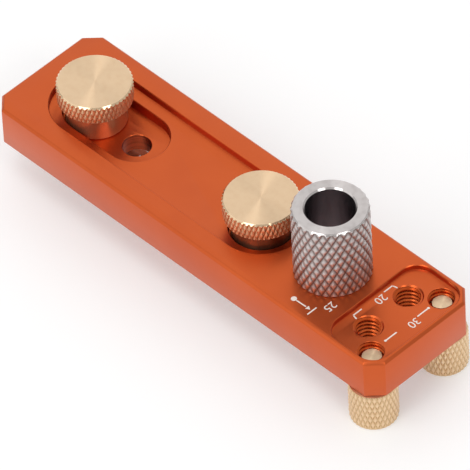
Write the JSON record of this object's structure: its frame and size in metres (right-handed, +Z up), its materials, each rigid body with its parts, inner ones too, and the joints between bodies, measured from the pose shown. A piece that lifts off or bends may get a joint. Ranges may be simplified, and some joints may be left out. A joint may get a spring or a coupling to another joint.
{
  "type": "extrusion drilling jig",
  "caption": "Clamp-on drilling jig for aluminium extrusion: orange bar plate, knurled drill bush, brass clamping knobs with slot nuts and screw-in stop pins.",
  "frame": {"origin": "on the drill's axis, in the plane of the plate's underside, which lies on the profile", "axes": "+X along the plate towards the stop pins, +Y across the plate, +Z up along the drill bush"},
  "size_m": [0.106, 0.0292, 0.0357],
  "materials": {
    "orange_anodised": "satin orange anodised aluminium with fine bead-blasted grain and lightly broken edges",
    "bush_steel": "turned steel with a knurled barrel, a smooth faced top and bright edge breaks",
    "knob_brass": "turned brass, knurled rim, faced top with a radial sheen",
    "pin_brass": "turned brass with a knurled barrel",
    "stud_steel": "plain threaded steel",
    "nut_steel": "milled steel with a dull plating"
  },
  "bodies": {
    "plate": {"jig_plate": "orange_anodised"},
    "bush": {"drill_bush": "bush_steel"},
    "inner_knob": {"inner_knob": "knob_brass", "inner_knob_stud": "stud_steel"},
    "inner_nut": {"inner_slot_nut": "nut_steel"},
    "outer_knob": {"outer_knob": "knob_brass", "outer_knob_stud": "stud_steel"},
    "outer_nut": {"outer_slot_nut": "nut_steel"},
    "left_pin": {"left_stop_pin": "pin_brass"},
    "right_pin": {"right_stop_pin": "pin_brass"}
  },
  "joints": [
    {"name": "bush_unscrew", "type": "slide", "parent": "plate", "child": "bush", "axis": [0, 0, 1], "range_m": [0, 0.012]},
    {"name": "inner_knob_turn", "type": "hinge", "parent": "plate", "child": "inner_knob", "pos_m": [-0.0195, 0, 0.0054], "axis": [0, 0, 1], "range_deg": [-360, 1080]},
    {"name": "inner_nut_travel", "type": "slide", "parent": "plate", "child": "inner_nut", "axis": [0, 0, 1], "range_m": [-0.0024, 0.0008]},
    {"name": "outer_knob_turn", "type": "hinge", "parent": "plate", "child": "outer_knob", "pos_m": [-0.06575, 0, 0.0054], "axis": [0, 0, 1], "range_deg": [-360, 1080]},
    {"name": "outer_nut_travel", "type": "slide", "parent": "plate", "child": "outer_nut", "axis": [0, 0, 1], "range_m": [-0.0024, 0.0008]},
    {"name": "left_pin_unscrew", "type": "slide", "parent": "plate", "child": "left_pin", "axis": [0, 0, -1], "range_m": [0, 0.01]},
    {"name": "right_pin_unscrew", "type": "slide", "parent": "plate", "child": "right_pin", "axis": [0, 0, -1], "range_m": [0, 0.01]}
  ],
  "couplings": [
    {"joint": "inner_nut_travel", "follows": "inner_knob_turn", "m_per_rad": -0.00012732},
    {"joint": "outer_nut_travel", "follows": "outer_knob_turn", "m_per_rad": -0.00012732}
  ]
}
